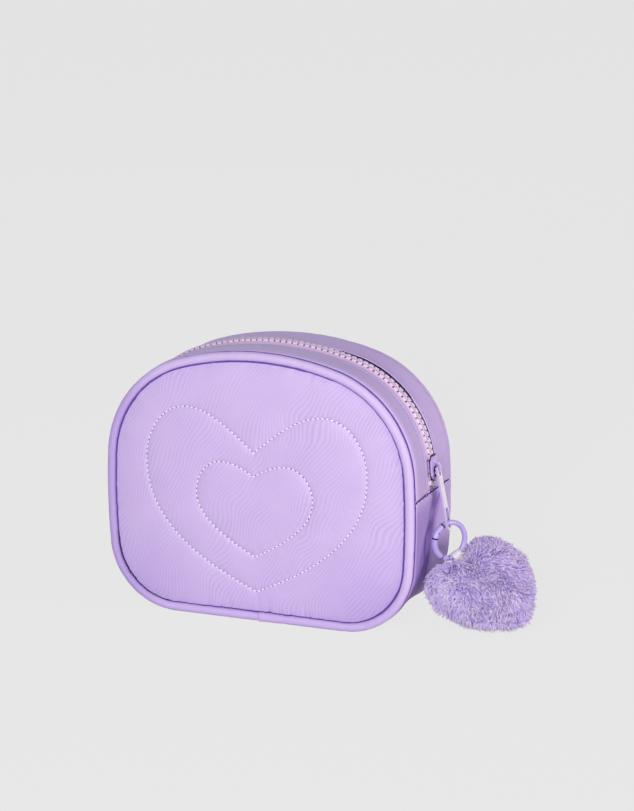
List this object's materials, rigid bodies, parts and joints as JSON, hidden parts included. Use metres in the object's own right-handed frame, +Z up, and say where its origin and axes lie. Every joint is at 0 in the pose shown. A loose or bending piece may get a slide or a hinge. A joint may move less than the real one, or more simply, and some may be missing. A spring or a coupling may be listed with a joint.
{
  "type": "cosmetic bag",
  "caption": "Rounded lilac cosmetic bag with a quilted heart front, piped seams, a curved zip and a fluffy heart charm on a spring-gate ring.",
  "frame": {"origin": "centre of the flat base of the bag, on the surface that it stands on", "axes": "+Z up, -Y out of the quilted front, +X to the right seen from the front, towards the zip's slider"},
  "size_m": [0.2297, 0.07, 0.1465],
  "materials": {
    "satin": "lilac polyester satin with a fine crinkled rib",
    "satin_side": "the same satin, a little greyer and in shade",
    "padding": "polyester wadding",
    "piping_cord": "soft cotton piping cord",
    "lining": "plain woven lining",
    "zip_tape": "pink-lilac woven zip tape",
    "zip_teeth": "moulded teeth, pale pink",
    "enamel": "cast zinc with a glossy lilac enamel",
    "steel": "plain steel wire",
    "ribbon": "cream satin ribbon",
    "pile": "long violet pile",
    "stuffing": "polyester fibre stuffing"
  },
  "bodies": {
    "bag": {"front_panel": "satin", "front_padding": "padding", "front_lining": "lining", "back_panel": "satin_side", "back_padding": "padding", "back_lining": "lining", "front_piping": "satin", "front_piping_cord": "piping_cord", "back_piping": "satin", "back_piping_cord": "piping_cord", "seam_binding_front": "lining", "seam_binding_rear": "lining", "base_gusset": "satin_side", "gusset_lining": "lining", "zip_strip_front": "satin_side", "zip_strip_rear": "satin_side", "zip_facing_front": "lining", "zip_facing_rear": "lining", "zip_tape_front": "zip_tape", "zip_tape_rear": "zip_tape", "zip_teeth_front": "zip_teeth", "zip_teeth_rear": "zip_teeth", "zip_stops": "zip_teeth"},
    "slider": {"zip_slider": "enamel"},
    "pull": {"pull_tab": "enamel"},
    "ring": {"clip_ring": "enamel", "gate_pin": "steel"},
    "gate": {"ring_gate": "enamel", "gate_spring": "steel"},
    "charm": {"ribbon_loop": "ribbon", "heart_front": "pile", "heart_back": "pile", "heart_stuffing": "stuffing"}
  },
  "joints": [
    {"name": "slider_travel", "type": "hinge", "parent": "bag", "child": "slider", "pos_m": [0.02734, 0, 0.08234], "axis": [0, -1, 0], "range_deg": [0, 69], "deforming": ["zip_teeth_front", "zip_teeth_rear"]},
    {"name": "pull_swing", "type": "hinge", "parent": "slider", "child": "pull", "pos_m": [0.09023, 0, 0.08597], "axis": [0.1392, -0.9903, 0], "range_deg": [0, 120]},
    {"name": "ring_swing", "type": "hinge", "parent": "pull", "child": "ring", "pos_m": [0.09576, 0.00078, 0.05583], "axis": [-0.5878, -0.809, 0], "range_deg": [0, 20]},
    {"name": "gate_open", "type": "hinge", "parent": "ring", "child": "gate", "pos_m": [0.09447, -0.001, 0.03717], "axis": [-0.809, 0.5878, 0], "range_deg": [0, 35], "stiffness_Nm_per_rad": 0.01},
    {"name": "charm_swing", "type": "hinge", "parent": "ring", "child": "charm", "pos_m": [0.09872, 0.00484, 0.03743], "axis": [0.537, 0.7391, 0.4067], "range_deg": [-10, 45]}
  ]
}
